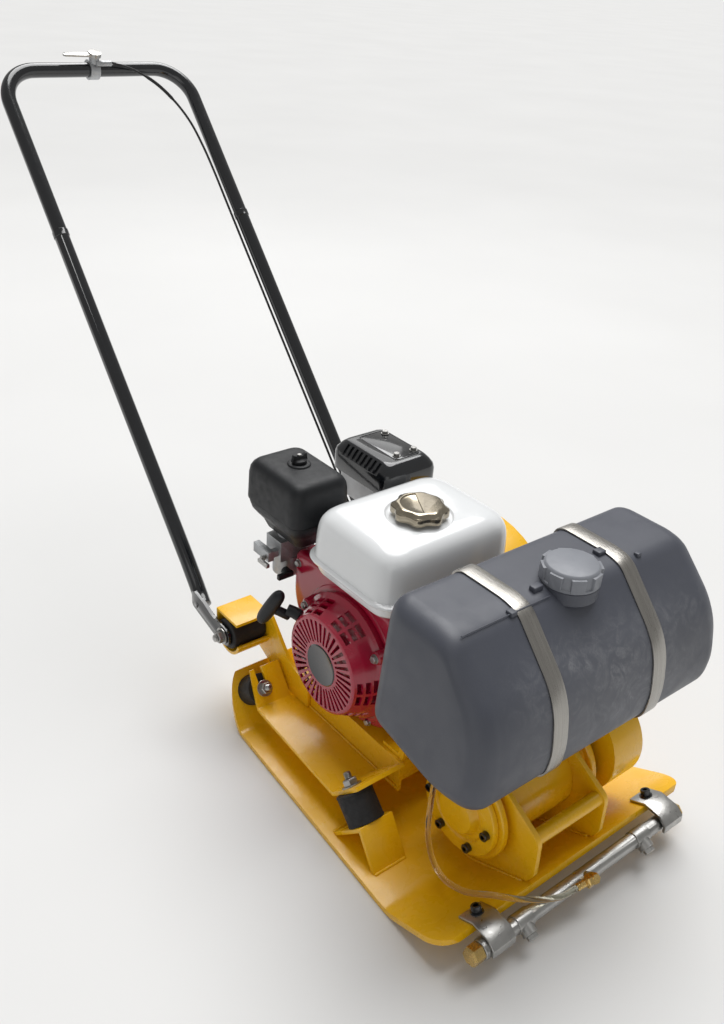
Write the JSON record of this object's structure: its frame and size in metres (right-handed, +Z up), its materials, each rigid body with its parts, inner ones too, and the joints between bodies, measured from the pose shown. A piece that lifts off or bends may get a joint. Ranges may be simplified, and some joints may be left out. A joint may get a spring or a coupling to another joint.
{
  "type": "plate compactor",
  "caption": "Walk-behind plate compactor with a petrol engine on a sprung deck, a belt-driven exciter, a front spray tank and a folding tubular handle.",
  "frame": {"origin": "on the ground under the middle of the flat sole", "axes": "+Z up; -Y towards the front, the way the machine travels, where the spray bar is; +Y towards the handle; -X the recoil starter side, +X the belt guard side"},
  "size_m": [0.4862, 1.4066, 0.9153],
  "materials": {
    "yellow_paint": "gloss",
    "red_paint": "gloss",
    "white_paint": "gloss",
    "black_paint": "gloss",
    "black_plastic": "satin",
    "grey_tank_plastic": "satin",
    "grey_cap_plastic": "satin",
    "black_rubber": "matte",
    "zinc_plate": "satin",
    "stainless_strap": "brushed",
    "cast_alloy": "as cast",
    "nickel_plate": "polished",
    "brass_fitting": "satin",
    "machined_steel": "machined",
    "clear_hose": "translucent"
  },
  "bodies": {
    "base": {"base_plate": "yellow_paint", "front_mount_seat_left": "yellow_paint", "front_mount_seat_right": "yellow_paint", "rubber_mount_front_left": "black_rubber", "rubber_mount_front_right": "black_rubber", "rubber_mount_rear_left": "black_rubber", "rubber_mount_rear_right": "black_rubber", "exciter_housing": "yellow_paint", "exciter_cover_left": "yellow_paint", "exciter_cover_right": "yellow_paint", "exciter_bearing_left": "machined_steel", "exciter_bearing_right": "machined_steel", "brace_ribs": "yellow_paint", "spray_pipe": "zinc_plate", "spray_bracket_left": "zinc_plate", "spray_bracket_right": "zinc_plate", "hose_barb": "brass_fitting"},
    "eccentric": {"eccentric_shaft": "machined_steel", "exciter_pulley": "machined_steel"},
    "deck": {"deck_frame": "yellow_paint", "tank_cradle": "yellow_paint", "handle_bracket_left": "yellow_paint", "handle_bracket_right": "yellow_paint", "handle_bush_left": "black_rubber", "handle_bush_right": "black_rubber", "handle_bolt_left": "zinc_plate", "handle_bolt_right": "zinc_plate", "crankcase": "cast_alloy", "cylinder_head": "cast_alloy", "fan_shroud": "red_paint", "recoil_cover": "red_paint", "belt_guard": "yellow_paint", "drive_belt": "black_rubber", "fuel_tank": "white_paint", "air_cleaner_base": "black_plastic", "air_cleaner_cover": "black_plastic", "carburettor": "cast_alloy", "muffler": "machined_steel", "muffler_guard": "black_paint", "water_tank": "grey_tank_plastic", "tank_strap_left": "stainless_strap", "tank_strap_right": "stainless_strap", "tank_outlet": "brass_fitting", "water_hose": "clear_hose"},
    "crank": {"crankshaft": "machined_steel", "flywheel_fan": "cast_alloy", "clutch_drum": "machined_steel"},
    "handle": {"handle_leg_left": "black_paint", "handle_leg_right": "black_paint", "handle_crossbar": "black_paint", "throttle_clamp": "cast_alloy", "throttle_cable": "black_rubber"},
    "throttle": {"throttle_lever": "cast_alloy"},
    "starter_grip": {"recoil_grip": "black_plastic"},
    "fuel_cap": {"fuel_cap": "nickel_plate"},
    "water_cap": {"water_cap": "grey_cap_plastic"},
    "air_cleaner_knob": {"air_cleaner_knob": "black_plastic"},
    "choke": {"choke_lever": "zinc_plate"},
    "fuel_valve": {"fuel_valve_lever": "black_plastic"}
  },
  "joints": [
    {"name": "deck_float", "type": "slide", "parent": "base", "child": "deck", "axis": [0, 0, 1], "range_m": [-0.004, 0.004], "stiffness_N_per_m": 200000, "springref_m": 0.0029, "deforming": ["rubber_mount_front_left", "rubber_mount_front_right", "rubber_mount_rear_left", "rubber_mount_rear_right", "water_hose", "drive_belt"]},
    {"name": "crank_spin", "type": "hinge", "parent": "deck", "child": "crank", "pos_m": [0, 0.071, 0.214], "axis": [1, 0, 0], "continuous": true},
    {"name": "eccentric_spin", "type": "hinge", "parent": "base", "child": "eccentric", "pos_m": [0, -0.176, 0.108], "axis": [1, 0, 0], "continuous": true},
    {"name": "handle_fold", "type": "hinge", "parent": "deck", "child": "handle", "pos_m": [0, 0.29, 0.142], "axis": [1, 0, 0], "range_deg": [0, 90]},
    {"name": "throttle_turn", "type": "hinge", "parent": "handle", "child": "throttle", "pos_m": [-0.005, 1.0338, 0.9046], "axis": [0, -0.3489, 0.9371], "range_deg": [0, 60]},
    {"name": "starter_pull", "type": "slide", "parent": "deck", "child": "starter_grip", "axis": [-0.7024, 0.5418, 0.4616], "range_m": [0, 0.5], "stiffness_N_per_m": 20, "springref_m": -0.3},
    {"name": "fuel_cap_turn", "type": "hinge", "parent": "deck", "child": "fuel_cap", "pos_m": [-0.03, 0.044, 0.443], "axis": [0, 0, 1], "range_deg": [0, 90]},
    {"name": "water_cap_turn", "type": "hinge", "parent": "deck", "child": "water_cap", "pos_m": [-0.007, -0.203, 0.469], "axis": [0, 0, 1], "continuous": true},
    {"name": "air_cleaner_knob_turn", "type": "hinge", "parent": "deck", "child": "air_cleaner_knob", "pos_m": [-0.104, 0.226, 0.458], "axis": [0, 0, 1], "continuous": true},
    {"name": "choke_turn", "type": "hinge", "parent": "deck", "child": "choke", "pos_m": [-0.1645, 0.227, 0.31], "axis": [1, 0, 0], "range_deg": [-45, 0]},
    {"name": "fuel_valve_turn", "type": "hinge", "parent": "deck", "child": "fuel_valve", "pos_m": [-0.13, 0.208, 0.282], "axis": [0, 1, 0], "range_deg": [0, 90]}
  ],
  "couplings": [
    {"joint": "eccentric_spin", "follows": "crank_spin", "ratio": 1.5}
  ]
}
